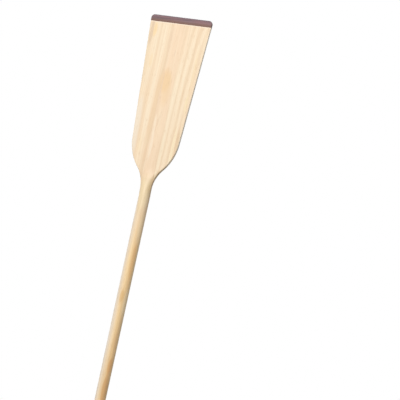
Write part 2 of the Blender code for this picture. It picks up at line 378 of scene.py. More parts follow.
def apply_modifiers(piece, sharp_deg=SHARP_DEG):
    """Bakes a piece's modifiers into its mesh."""
    bpy.context.view_layer.update()
    graph = bpy.context.evaluated_depsgraph_get()
    mesh = bpy.data.meshes.new_from_object(piece.evaluated_get(graph))
    piece.modifiers.clear()
    piece.data = mesh
    shade_smooth(mesh, sharp_deg)


def combine(piece, other, operation):
    """Boolean of two solids; the second one is used up."""
    change = piece.modifiers.new("cut", "BOOLEAN")
    change.operation = operation
    change.solver = "EXACT"
    change.object = other
    apply_modifiers(piece)
    bpy.data.objects.remove(other, do_unlink=True)


def cut(piece, outline, low_z, high_z):
    """Cuts away what lies inside an outline, between two heights."""
    combine(piece, stack([(low_z, outline), (high_z, outline)], "cutter"), "DIFFERENCE")


# Pieces
def shaft_rings():
    """Rings of the tenon, the shaft and the neck, up to the foot of the side boards."""
    shoulder = GRIP_STEM_HEIGHT + SEAM_GAP
    tenon_r = TENON_DIA / 2
    rings = [(TENON_LOW, tenon_ring(tenon_r - TENON_LEAD)), (TENON_LOW + TENON_LEAD, tenon_ring(tenon_r)),
             (shoulder, tenon_ring(tenon_r))]
    for z in [shoulder] + even(shoulder, MORPH_LOW, SHAFT_ROWS) + even(MORPH_LOW, WING_Z, NECK_ROWS):
        rings.append((z, neck_ring(z)))
    return rings


def build_spine():
    """Tenon, shaft and middle strip as one closed mesh."""
    bm = bmesh.new()
    lines = [new_row(bm, ring, z) for z, ring in shaft_rings()]
    for low, high in zip(lines, lines[1:]):
        bridge(bm, low, high)
    bm.faces.new(list(reversed(lines[0])))
    # The last ring goes round the front, the right edge, the back and the left edge
    top = lines[-1]
    right_from = FRONT_STEPS + 1
    back_from = right_from + len(edge_turn(WING_Z))
    left_from = back_from + BACK_STEPS + 1
    front, right_turn = top[:right_from], top[right_from:back_from]
    back, left_turn = top[back_from:left_from], top[left_from:]
    groove = tongue_points(SPINE_HALF, SPINE_HALF - TONGUE_DEPTH, TONGUE_THICKNESS / 2)
    right, left = new_row(bm, groove, WING_Z), new_row(bm, mirrored(groove), WING_Z)
    # Shelf on each side where the board of the blade begins
    bm.faces.new([front[-1]] + right_turn + [back[0]] + list(reversed(right)))
    bm.faces.new([back[-1]] + left_turn + [front[0]] + list(reversed(left)))
    row = front + right + back + left
    for z in blade_heights(WING_Z, STRIP_Z - SEAM_GAP)[1:]:
        next_row = new_row(bm, front_arch(z) + groove + back_arch(z) + mirrored(groove), z)
        bridge(bm, row, next_row)
        row = next_row
    bm.faces.new(row)
    return new_piece(bm, "paddle_shaft")


def build_wing(side, name):
    """Side board with its tongue; the face has extra rows so that it shades flat."""
    root = SPINE_HALF + SEAM_GAP
    half = TONGUE_THICKNESS / 2 - JOINT_GAP
    rings = []
    for z in blade_heights(WING_Z + SEAM_GAP, STRIP_Z - SEAM_GAP):
        low, high = -FACE_OFFSET, -FACE_OFFSET + board_thickness(z)
        turn = edge_turn(z)
        margin = min(FACE_MARGIN, (turn[0][0] - root) / 4)
        chamfer = min(SEAM_CHAMFER, margin / 2)
        ring = [(root, low + chamfer), (root + chamfer, low)]
        ring += between((root + chamfer + margin, low), (turn[0][0] - margin, low), FACE_STEPS)
        ring += turn
        ring += between((turn[-1][0] - margin, high), (root + chamfer + margin, high), FACE_STEPS)
        ring += [(root + chamfer, high), (root, high - chamfer)]
        ring += list(reversed(tongue_points(root, root - TONGUE_DEPTH, half)))
        rings.append((z, ring if side > 0 else mirrored(ring)))
    return stack(rings, name, sharp_deg=40)


def build_tip():
    """Strip across the end of the blade, with two rounded corners."""
    foot = STRIP_Z + SEAM_CHAMFER
    heights = [STRIP_Z, foot] + even(foot, CORNER_Z, STRIP_ROWS)
    heights += [z for _, z in arc(0.0, CORNER_Z, TIP_CORNER_RADIUS, 0, CORNER_ROWS)][1:]
    rings = []
    for z in heights:
        turn = edge_turn(z)
        chamfer = SEAM_CHAMFER if z == STRIP_Z else 0.0
        low, high = turn[0][1], turn[-1][1]
        side = turn[0][0] - FACE_MARGIN
        ring = between((-side, low), (side, low), 2 * FACE_STEPS) + turn
        ring += between((side, high), (-side, high), 2 * FACE_STEPS) + mirrored(turn)
        rings.append((z, [(x, y + (chamfer if y < low + chamfer else 0.0)) for x, y in ring]))
    return stack(rings, "paddle_tip_strip", sharp_deg=50)


def cut_slots(items):
    """Slot for the hidden loose tongue between the tip strip and the boards."""
    room = Vector((JOINT_GAP, JOINT_GAP, JOINT_GAP))
    low, high = spline_low - room, spline_high + room
    for item in items:
        cut(item, rectangle(low.x, low.y, high.x, high.y), low.z, high.z)


def soften_joint(grip):
    """Relaxes the mesh: everywhere for a few rounds, then only in the corner between bar and stem."""
    rounds, rounds_everywhere = 26, 6
    weak, strong, least_later = 0.25, 0.80, 0.30
    corner_x, corner_z = GRIP_R * 1.3, GRIP_DIA * 0.95
    strong_within, weak_beyond = 0.004, 0.013
    bm = bmesh.new()
    bm.from_mesh(grip.data)
    bm.verts.ensure_lookup_table()
    links = [[edge.other_vert(vert).index for edge in vert.link_edges] for vert in bm.verts]
    places = [vert.co.copy() for vert in bm.verts]
    weights = []
    for place in places:
        far = math.hypot(max(0.0, abs(place.x) - corner_x), place.z - corner_z)
        weights.append(weak + (strong - weak) * (1 - smooth_step(far, strong_within, weak_beyond)))
    for turn in range(rounds):
        moved = []
        for place, near, weight in zip(places, links, weights):
            mean = Vector()
            for k in near:
                mean += places[k]
            share = weight if turn < rounds_everywhere or weight > least_later else 0.0
            moved.append(place.lerp(mean / len(near), share))
        places = moved
    for vert, place in zip(bm.verts, places):
        vert.co = place
    bm.to_mesh(grip.data)
    bm.free()


def build_grip():
    """T handle carved from one block: bar and stem melt into each other."""
    round_from = GRIP_LENGTH / 2 - GRIP_END_ROUND
    ahead = [0.0] + even(0.0, round_from, BAR_ROWS)
    for turn in even(0.0, math.radians(BAR_END_TURN_DEG), BAR_END_ROWS):
        ahead.append(round_from + GRIP_END_ROUND * math.sin(turn))
    places = [-x for x in reversed(ahead[1:])] + ahead
    centre = GRIP_DIA / 2
    rows = []
    for x in places:
        rows.append([(x, y, z + centre) for y, z in circle(bar_radius(x), ROUND_SIDES)])
    grip = loft(rows, "paddle_handle")
    rings = []
    for z in [centre] + even(centre, GRIP_STEM_HEIGHT + STEM_OVERSHOOT, STEM_ROWS):
        wide, deep = stem_size(z)
        rings.append((z, [(a * wide, b * deep) for a, b in circle(1.0, ROUND_SIDES)]))
    combine(grip, stack(rings, "stem"), "UNION")
    remesh = grip.modifiers.new("even", "REMESH")
    remesh.mode = "VOXEL"
    remesh.voxel_size = GRIP_VOXEL
    apply_modifiers(grip)
    soften_joint(grip)
    # Cutters reach well past the handle
    far = GRIP_LENGTH
    cut(grip, rectangle(-far, -far, far, far), GRIP_STEM_HEIGHT, GRIP_STEM_HEIGHT + far)
    cut(grip, circle(TENON_DIA / 2 + JOINT_GAP, ROUND_SIDES), TENON_LOW - JOINT_GAP, GRIP_STEM_HEIGHT + far)
    hole = circle(PIN_DIA / 2 + JOINT_GAP, PIN_SIDES)
    rows = [[(x, y, z + PIN_HEIGHT) for x, z in hole] for y in (-far, far)]
    combine(grip, loft(rows, "hole"), "DIFFERENCE")
    shade_smooth(grip.data, sharp_deg=60)
    return grip


def build_pin():
    """Cross pin whose ends follow the handle's round surface."""
    wide, deep = stem_size(PIN_HEIGHT)
    proud = 0.00005

    def surface(x):
        return deep * math.sqrt(1 - (x / wide) ** 2) + proud

    rows = []
    # Rings of the end face, from its middle to its rim
    for share in (0.02, 0.35, 0.7, 0.97, 1.0):
        ring = circle(share * PIN_DIA / 2, PIN_SIDES)
        rows.append([(x, -surface(x), z + PIN_HEIGHT) for x, z in ring])
    rows += [[(x, -y, z) for x, y, z in row] for row in reversed(rows)]
    return loft(rows, "paddle_pin", sharp_deg=50)


# Materials
def srgb(red, green, blue):
    """Linear colour of an 8-bit screen colour."""
    out = []
    for value in (red / 255, green / 255, blue / 255):
        out.append(value / 12.92 if value <= 0.04045 else ((value + 0.055) / 1.055) ** 2.4)
    return (*out, 1.0)


class Graph:
    """Adds nodes to a node tree and links them; sockets and plain values may be mixed."""

    def __init__(self, tree, turn=(0.0, 0.0, 0.0)):
        self.tree = tree
        self.turn = turn
        self.source = None

    def add(self, kind, inputs=None, **settings):
        """New node with its settings and inputs."""
        node = self.tree.nodes.new(kind)
        for key, value in settings.items():
            setattr(node, key, value)
        for key, value in (inputs or {}).items():
            self.feed(node.inputs[key], value)
        return node

    def feed(self, socket, value):
        """Links another socket, or sets a plain value."""
        if isinstance(value, bpy.types.NodeSocket):
            self.tree.links.new(value, socket)
        else:
            socket.default_value = value

    def math(self, operation, *values):
        """Result of one sum on plain numbers."""
        return self.add("ShaderNodeMath", dict(enumerate(values)), operation=operation).outputs[0]

    def vector(self, operation, first, second=None):
        """Result of one sum on vectors: a number for a length, else a vector."""
        inputs = {0: first} if second is None else {0: first, 1: second}
        node = self.add("ShaderNodeVectorMath", inputs, operation=operation)
        return node.outputs["Value"] if operation == "LENGTH" else node.outputs["Vector"]

    def parts(self, vector):
        """The three numbers of a vector."""
        numbers = self.add("ShaderNodeSeparateXYZ", {0: vector}).outputs
        return numbers[0], numbers[1], numbers[2]

    def span(self, first, second):
        """Distance whose two parts at right angles are given."""
        squares = [self.math("MULTIPLY", part, part) for part in (first, second)]
        return self.math("SQRT", self.math("ADD", *squares))

    def object_space(self):
        """Place in the part's own frame, metres."""
        return self.add("ShaderNodeTexCoord").outputs["Object"]

    def grain_space(self):
        """The same, turned so that the wood's fibres run along the third axis."""
        if self.source is None:
            inputs = {"Vector": self.object_space(), "Rotation": self.turn}
            self.source = self.add("ShaderNodeMapping", inputs).outputs[0]
        return self.source

    def sideways(self):
        """0 where the surface looks ahead or back, 1 where it looks left or right."""
        normal = self.add("ShaderNodeTexCoord").outputs["Normal"]
        return self.math("ABSOLUTE", self.parts(normal)[0])

    def noise(self, across, along, seed=0.0, detail=2.0, roughness=0.5):
        """Noise with so many spots to the metre across the fibres, and along them."""
        inputs = {"Vector": self.grain_space(), "Scale": (across, across, along),
                  "Location": (seed, -seed, seed)}
        place = self.add("ShaderNodeMapping", inputs).outputs[0]
        inputs = {"Vector": place, "Scale": 1.0, "Detail": detail, "Roughness": roughness}
        return self.add("ShaderNodeTexNoise", inputs).outputs[0]

    def waver(self, value, width, across, along, seed):
        """A value that noise moves up and down within a width."""
        swing = self.math("SUBTRACT", self.noise(across, along, seed), 0.5)
        return self.math("ADD", value, self.math("MULTIPLY", swing, width))

    def step(self, value, low, high, to_low=0.0, to_high=1.0):
        """Goes smoothly from one level to another while a value passes from one limit to the other."""
        inputs = {"Value": value, 1: low, 2: high, 3: to_low, 4: to_high}
        return self.add("ShaderNodeMapRange", inputs, interpolation_type="SMOOTHSTEP").outputs[0]

    def mix(self, share, first, second, blend="MIX"):
        """The first colour, with a share of the second one blended in."""
        node = self.add("ShaderNodeMix", data_type="RGBA", blend_type=blend)
        for socket, value in ((node.inputs[0], share), (node.inputs[6], first), (node.inputs[7], second)):
            self.feed(socket, value)
        return node.outputs[2]

    def times(self, first, second):
        """Product of two colours."""
        return self.mix(1.0, first, second, "MULTIPLY")

    def grey(self, value):
        """Grey colour of a brightness."""
        return self.add("ShaderNodeCombineColor", {0: value, 1: value, 2: value}).outputs[0]

    def bump(self, height, distance):
        """Surface direction with fine relief up to a depth in metres."""
        inputs = {"Height": height, "Distance": distance, "Strength": 1.0}
        return self.add("ShaderNodeBump", inputs).outputs[0]

    def seen_rays(self):
        """1 for what the camera sees, directly or in a gloss or through glass, else 0."""
        rays = self.add("ShaderNodeLightPath").outputs
        mirror = self.math("MAXIMUM", rays["Is Glossy Ray"], rays["Is Transmission Ray"])
        return self.math("MAXIMUM", rays["Is Camera Ray"], mirror)


def new_material(name, turn=(0.0, 0.0, 0.0)):
    """Material with its node helper and its shader."""
    material = bpy.data.materials.new(name)
    material.use_nodes = True
    return material, Graph(material.node_tree, turn), material.node_tree.nodes["Principled BSDF"]


def varnish(shader, coat, gloss):
    """Clear coat and gloss, the same all over, on the shader's own sockets."""
    shader.inputs["Coat Weight"].default_value = coat
    shader.inputs["Coat Roughness"].default_value = 0.3
    shader.inputs["Specular IOR Level"].default_value = gloss


def ground(g, tones, seed):
    """Soft mix of four tones of one wood: pale and warm zones, with fine bright and deep streaks."""
    zones = g.noise(19.0, 3.6, seed)
    streaks = g.noise(230.0, 4.5, seed + 3.0, detail=3.0)
    colour = g.mix(g.step(zones, 0.34, 0.64), tones["pale"], tones["warm"])
    colour = g.mix(g.step(streaks, 0.50, 0.78, 0.0, 0.75), colour, tones["bright"])
    return g.mix(g.step(streaks, 0.22, 0.48, 0.75, 0.0), colour, tones["deep"])


def fanned(g, x, z, look):
    """Place across the grain, which fans out from the neck to the tip, most of all close to the tip."""
    level, slope, flare = look["fan"]
    below_tip = g.math("SUBTRACT", TOTAL_LENGTH, z)
    flaring = g.math("EXPONENT", g.math("MULTIPLY", below_tip, -1 / look["flare_length"]))
    spread = g.math("SUBTRACT", level, g.math("MULTIPLY", below_tip, slope))
    spread = g.math("ADD", spread, g.math("MULTIPLY", flaring, flare))
    return g.math("DIVIDE", g.waver(x, look["wander"], 7.0, 2.6, look["seed"]), spread)


def growth_rings(g, across, y, z, look):
    """1 in the thin dark layers that grow at the end of each year, else 0."""
    pith_x, pith_y, tilt = look["pith"]
    side = g.math("SUBTRACT", across, pith_x)
    depth = g.math("SUBTRACT", y, g.math("ADD", pith_y, g.math("MULTIPLY", z, tilt)))
    away = g.span(side, depth)
    uneven = g.noise(55.0, 5.0, look["seed"] + 1.0)
    inputs = {"W": g.math("MULTIPLY", away, 80.0), "Scale": 1.0, "Detail": 1.0}
    years = g.add("ShaderNodeTexNoise", inputs, noise_dimensions="1D").outputs[0]
    phase = g.math("ADD", g.math("DIVIDE", away, look["ring"]), g.math("MULTIPLY", uneven, 0.9))
    phase = g.math("FRACT", g.math("ADD", phase, g.math("MULTIPLY", years, 1.6)))
    late = g.math("MULTIPLY", g.step(phase, 0.45, 0.88), g.step(phase, 0.90, 0.99, 1.0, 0.0))
    return g.math("MULTIPLY", late, g.step(g.noise(26.0, 6.0, look["seed"] + 2.0), 0.3, 0.7, 0.25, 1.0))


def shaft_colour(g, blade_colour, place, look):
    """Warmer wood on the shaft and on the ridge; paler on its left and redder on its right, which is partly
    the wood and partly painted light on the left and painted shade on the right.
    """
    x, y, z = place
    # Limits across the shaft, metres from its centre line; the pale left and red right are partly painted
    # light and shade
    sap_full, sap_end = -0.010, 0.006
    heart_from, heart_full, heart_end = 0.003, 0.011, 0.0145
    ridge_heart_from, ridge_heart_full = -0.002, 0.008
    # Limits from front to back
    face_end, ridge_full = -0.006, 0.003
    side = g.waver(x, 0.010, 40.0, 5.0, 8.0)
    depth = g.waver(y, 0.010, 34.0, 4.0, 2.0)
    warm = ground(g, look["shaft_tones"], look["seed"] + 5.0)
    ridge = g.mix(g.step(side, ridge_heart_from, ridge_heart_full, 0.0, 0.8), warm, look["heartwood_and_painted_shade"])
    colour = g.mix(g.step(depth, face_end, ridge_full, 0.0, 0.8), blade_colour, ridge)
    heart = g.math("MULTIPLY", g.step(side, heart_from, heart_full, 0.0, 0.8),
                   g.step(side, heart_full, heart_end, 1.0, 0.2))
    shaft = g.mix(g.step(side, sap_full, sap_end, 1.0, 0.0), warm, look["sapwood_and_painted_light"])
    shaft = g.mix(heart, shaft, look["heartwood_and_painted_shade"])
    return g.mix(g.step(z, look["shaft_from"], look["shaft_to"], 1.0, 0.0), colour, shaft)


def wave(g, position, peaks):
    """Soft bands across the board through (place, level) peaks; above 0 is lighter, below 0 darker."""
    reach = BLADE_WIDTH / 2
    ramp_node = g.add("ShaderNodeValToRGB", {0: g.math("DIVIDE", g.math("ADD", position, reach), 2 * reach)})
    ramp = ramp_node.color_ramp
    ramp.interpolation = "EASE"
    while len(ramp.elements) < len(peaks):
        ramp.elements.new(0.5)
    for element, (place, level) in zip(ramp.elements, peaks):
        element.position = (place + reach) / (2 * reach)
        value = 0.5 + level / 2
        element.color = (value, value, value, 1.0)
    return g.math("MULTIPLY", g.math("SUBTRACT", ramp_node.outputs[0], 0.5), 2.0)


def banded(g, colour, across, look):
    """Wide lighter and darker bands along the board, weaker in places."""
    fading = g.step(g.noise(14.0, 6.0, look["seed"] + 6.0), 0.3, 0.6, 0.6, 1.0)
    lift = g.math("MULTIPLY", wave(g, across, look["bands"]), fading)
    colour = g.mix(lift, colour, g.times(colour, look["lighter"]))
    return g.mix(g.math("MULTIPLY", lift, -1.0), colour, g.times(colour, look["darker"]))


def stained(g, colour, spot):
    """Long soft spot of another tone."""
    away = g.vector("SUBTRACT", g.grain_space(), spot["centre"])
    away = g.vector("LENGTH", g.vector("DIVIDE", away, spot["half_sizes"]))
    ragged = g.waver(away, 0.8, 95.0, 12.0, 4.0)
    return g.mix(g.step(ragged, 0.5, 1.1, spot["strength"], 0.0), colour, spot["tint"])


def painted_throat_shade(g, x, z):
    """Painted shade along the throat's right hollow, where the rim turns away from the light: 1 there, 0
    away from it; the left one only gets a trace.
    """
    reach = 0.013
    # Heights above the neck, metres
    rise_from, rise_to = -0.040, 0.004
    thin_from, thin_to = 0.024, 0.055
    fade_from, fade_to = 0.045, 0.080
    # Places across the neck, metres
    left_end, right_full = -0.004, 0.006
    aside = g.math("SUBTRACT", g.math("ABSOLUTE", x), NECK_R + THROAT_RADIUS)
    above = g.math("SUBTRACT", z, NECK_Z)
    inward = g.math("SUBTRACT", g.span(aside, above), THROAT_RADIUS)
    near = g.math("DIVIDE", inward, g.step(above, thin_from, thin_to, reach, reach / 3))
    near = g.step(near, 0.0, 1.0, 1.0, 0.0)
    fading = g.step(above, fade_from, fade_to, 1.0, 0.0)
    window = g.math("MULTIPLY", g.step(above, rise_from, rise_to), fading)
    return g.math("MULTIPLY", g.math("MULTIPLY", near, window), g.step(x, left_end, right_full, 0.12, 1.0))


def blade_edges(g, colour, x, z, look):
    """Painted light on the side faces above the shoulder, glue line under the tip strip, and painted shade
    in the throat.
    """
    rim_rise = 0.06
    glue_from, glue_full = 0.0032, 0.0016
    # Painted light: faces that look left or right, above the shoulder, are made paler
    rim = g.math("MULTIPLY", g.step(g.sideways(), 0.35, 0.90, 0.0, 0.75),
                 g.step(z, SHOULDER_TOP - rim_rise, SHOULDER_TOP))
    colour = g.mix(rim, colour, look["painted_side_light"])
    glue = g.step(z, STRIP_Z - glue_from, STRIP_Z - glue_full, 0.0, 0.7)
    colour = g.mix(glue, colour, look["glue_line"])
    # Painted shade in the throat's right hollow
    return g.mix(painted_throat_shade(g, x, z), colour, g.times(colour, look["throat"]))


def softwood(name, look):
    """Pale varnished softwood, straight in the grain."""
    material, g, shader = new_material(name, look["turn"])
    seed = look["seed"]
    x, y, z = g.parts(g.grain_space())
    across = fanned(g, x, z, look)
    late = growth_rings(g, across, y, z, look)
    fibres = g.noise(900.0, 16.0, seed, detail=3.0, roughness=0.6)
    flecks = g.step(g.noise(330.0, 55.0, seed, detail=1.0), 0.60, 0.72)
    colour = ground(g, look["tones"], seed)
    if look["shaft_tones"]:
        colour = shaft_colour(g, colour, (x, y, z), look)
    colour = g.mix(g.math("MULTIPLY", late, look["late_share"]), colour, look["late"])
    if look["bands"]:
        colour = banded(g, colour, across, look)
    for spot in look["spots"]:
        colour = stained(g, colour, spot)
    colour = g.mix(g.math("MULTIPLY", flecks, look["fleck_share"]), colour, look["late"])
    if look["on_blade"]:
        colour = blade_edges(g, colour, x, z, look)
    colour = g.times(colour, g.grey(g.step(fibres, 0.2, 0.8, 0.96, 1.03)))
    g.feed(shader.inputs["Base Color"], colour)
    height = g.math("ADD", g.math("MULTIPLY", fibres, 0.5), g.math("MULTIPLY", late, 0.3))
    g.feed(shader.inputs["Normal"], g.bump(height, look["bump"]))
    uneven_shine = g.math("MULTIPLY", g.noise(24.0, 9.0, seed + 7.0, detail=3.0), 0.16)
    rough = g.math("ADD", g.math("MULTIPLY", late, -0.06), g.math("ADD", uneven_shine, look["roughness"]))
    g.feed(shader.inputs["Roughness"], rough)
    varnish(shader, coat=look["varnish"], gloss=0.35)
    return material


def hardwood(name, look):
    """Dark hardwood strip with fine pores, browner at its foot and worn pale along its outer rim."""
    brown_full, brown_end = 0.001, 0.011
    worn_from, worn_full = 0.0050, 0.0015
    material, g, shader = new_material(name, look["turn"])
    z = g.parts(g.object_space())[2]
    streaks = g.noise(230.0, 6.0, 1.0, detail=3.0, roughness=0.6)
    fibres = g.noise(1300.0, 26.0, 2.0, detail=3.0, roughness=0.6)
    pores = g.step(g.noise(1500.0, 120.0, 3.0, detail=1.0), 0.60, 0.74)
    clouds = g.noise(45.0, 14.0, 4.0)
    colour = g.mix(g.step(streaks, 0.36, 0.64), look["dark"], look["light"])
    colour = g.mix(g.step(clouds, 0.42, 0.70, 0.0, 0.6), colour, look["red"])
    colour = g.mix(g.math("MULTIPLY", pores, 0.4), colour, look["pore"])
    colour = g.times(colour, g.grey(g.step(fibres, 0.2, 0.8, 0.88, 1.08)))
    foot = g.step(z, STRIP_Z + brown_full, STRIP_Z + brown_end, 0.9, 0.0)
    colour = g.mix(foot, colour, look["brown"])
    rim = g.step(z, TOTAL_LENGTH - worn_from, TOTAL_LENGTH - worn_full)
    rim = g.math("MULTIPLY", rim, g.step(clouds, 0.35, 0.65, 0.35, 0.8))
    colour = g.mix(rim, colour, look["worn"])
    colour = g.mix(g.step(g.sideways(), 0.2, 0.8, 0.0, 0.7), colour, look["ends"])
    g.feed(shader.inputs["Base Color"], colour)
    g.feed(shader.inputs["Normal"], g.bump(fibres, look["bump"]))
    rough = g.math("ADD", g.math("MULTIPLY", fibres, 0.12), g.math("MULTIPLY", rim, 0.3))
    g.feed(shader.inputs["Roughness"], g.math("ADD", rough, 0.42))
    varnish(shader, coat=0.05, gloss=0.3)
    return material


def end_grain(name, look):
    """Growth rings around a point beside the pin's centre line, which runs along Y."""
    pith_x, pith_z = look["pith"]
    material, g, shader = new_material(name)
    offset = g.vector("SUBTRACT", g.grain_space(), (pith_x, 0.0, PIN_HEIGHT + pith_z))
    away = g.vector("LENGTH", g.vector("MULTIPLY", offset, (1.0, 0.0, 1.0)))
    specks = g.noise(900.0, 900.0)
    phase = g.math("ADD", g.math("DIVIDE", away, look["ring"]), g.math("MULTIPLY", specks, 0.6))
    colour = g.mix(g.step(g.math("FRACT", phase), 0.3, 0.9), look["pale"], look["dark"])
    colour = g.mix(g.step(specks, 0.5, 0.75, 0.0, 0.4), colour, look["dark"])
    g.feed(shader.inputs["Base Color"], colour)
    g.feed(shader.inputs["Normal"], g.bump(specks, look["bump"]))
    g.feed(shader.inputs["Roughness"], g.math("ADD", g.math("MULTIPLY", specks, 0.2), 0.4))
    return material


# Looks of the woods
def tones(pale, warm, bright, deep):
    """The four tones of one wood."""
    return {"pale": srgb(*pale), "warm": srgb(*warm), "bright": srgb(*bright), "deep": srgb(*deep)}


def spot_at(centre, half_sizes, tint, strength):
    """Long soft spot in the wood: place and half sizes in metres, screen colour, strength."""
    return {"centre": centre, "half_sizes": half_sizes, "tint": srgb(*tint), "strength": strength}


# A spot on the blade's flat face stays this near to it, so that the back is clear of it
SPOT_DEPTH = 0.007


def face_spot(x, z, half_across, half_along, tint, strength):
    """Spot on the blade's flat face."""
    return spot_at((x, -FACE_OFFSET, z), (half_across, SPOT_DEPTH, half_along), tint, strength)


# Turn for wood whose fibres run from left to right instead of upwards
ALONG_X = (0.0, math.pi / 2, 0.0)
BLADE_TONES = tones((249, 226, 192), (248, 220, 184), (252, 233, 199), (239, 211, 174))
MIDDLE_TONES = tones((249, 224, 190), (248, 219, 184), (251, 228, 195), (241, 212, 176))
SHAFT_TONES = tones((254, 223, 170), (253, 215, 156), (254, 229, 182), (245, 201, 140))
HANDLE_TONES = tones((243, 212, 170), (238, 202, 154), (247, 222, 184), (228, 187, 138))
# What the softwoods share. Lengths are in metres; darker, lighter and throat multiply the colour, and throat
# is the painted shade in the throat.
BASE_LOOK = {
    "turn": (0.0, 0.0, 0.0),
    "seed": 1.0,
    "tones": BLADE_TONES,
    "shaft_tones": None,
    "shaft_from": 0.58,
    "shaft_to": 0.80,
    # Paler wood on the shaft's left and redder on its right: partly the wood, partly painted light and
    # painted shade
    "sapwood_and_painted_light": srgb(254, 237, 213),
    "heartwood_and_painted_shade": srgb(249, 207, 150),
    "late": srgb(226, 190, 148),
    "late_share": 0.40,
    "fleck_share": 0.30,
    "pith": (0.0, 0.075, 0.012),
    "ring": 0.0060,
    "fan": (1.0, 0.0, 0.0),
    "flare_length": 0.06,
    "wander": 0.006,
    "bands": [],
    "darker": (0.925, 0.900, 0.865, 1.0),
    "lighter": (1.030, 1.070, 1.110, 1.0),
    "spots": [],
    "on_blade": False,
    # Painted light on the boards' side faces above the shoulder
    "painted_side_light": srgb(255, 244, 226),
    "glue_line": srgb(253, 231, 211),
    # Painted shade in the throat's hollow, as a factor on the colour
    "throat": (0.76, 0.71, 0.61, 1.0),
    "bump": 0.00006,
    "roughness": 0.40,
    "varnish": 0.10,
}
# A yellow stain that spreads over the middle strip and a little of the left board
YELLOW_STAIN = [
    face_spot(-0.0010, 1.058, 0.0140, 0.050, (245, 212, 168), 0.75),
    face_spot(-0.0075, 1.086, 0.0190, 0.040, (244, 208, 158), 0.80),
]
LEFT_LOOK = {
    **BASE_LOOK,
    "on_blade": True,
    "seed": 3.1,
    "late_share": 0.25,
    "pith": (-0.140, 0.120, 0.014),
    "ring": 0.0030,
    "bands": [(-0.0880, -0.4), (-0.0760, -0.6), (-0.0620, 1.0), (-0.0510, -0.6), (-0.0450, 0.5),
              (-0.0400, 1.0), (-0.0340, 0.8), (-0.0205, -1.0), (-0.0170, -0.8)],
    "spots": YELLOW_STAIN + [
        # Grey-brown streak near the outer edge at the top, which is painted shade of the edge, and the pale
        # lower half of the board
        face_spot(-0.0775, 1.225, 0.0052, 0.050, (226, 198, 164), 0.85),
        face_spot(-0.0660, 0.930, 0.0160, 0.120, (246, 231, 209), 0.70),
        # Yellow spots and a long pale streak
        face_spot(-0.0680, 1.228, 0.0060, 0.026, (250, 218, 166), 0.90),
        face_spot(-0.0620, 1.140, 0.0050, 0.022, (249, 221, 176), 0.60),
        face_spot(-0.0420, 0.905, 0.0070, 0.030, (249, 225, 184), 0.50),
        face_spot(-0.0395, 1.020, 0.0060, 0.120, (253, 235, 205), 0.55),
        # Darker wood along the seam
        face_spot(-0.0215, 1.205, 0.0045, 0.045, (238, 208, 174), 0.65),
        face_spot(-0.0235, 1.000, 0.0080, 0.110, (240, 208, 168), 0.85),
        face_spot(-0.0210, 0.880, 0.0060, 0.035, (240, 206, 168), 0.70),
    ],
}
RIGHT_LOOK = {
    **BASE_LOOK,
    "on_blade": True,
    "seed": 7.4,
    "late_share": 0.25,
    "pith": (0.150, 0.110, -0.012),
    "ring": 0.0036,
    "fan": (0.912, 0.5, 0.17),
    "bands": [(0.0150, -0.2), (0.0230, -0.2), (0.0300, 0.9), (0.0340, 0.7), (0.0400, -0.9),
              (0.0470, 0.8), (0.0520, 0.7), (0.0605, -1.0), (0.0622, -1.0), (0.0695, 1.0),
              (0.0720, 0.9), (0.0795, -1.0), (0.0870, 0.2)],
    "spots": [
        # Yellow streaks, and a brown one along the right edge near the shoulder, which is painted shade
        face_spot(0.0660, 1.130, 0.0050, 0.070, (250, 226, 184), 0.60),
        face_spot(0.0630, 1.030, 0.0050, 0.030, (250, 229, 183), 0.60),
        face_spot(0.0520, 0.910, 0.0045, 0.060, (253, 233, 190), 0.60),
        face_spot(0.0610, 0.920, 0.0055, 0.050, (232, 202, 162), 0.80),
    ],
}
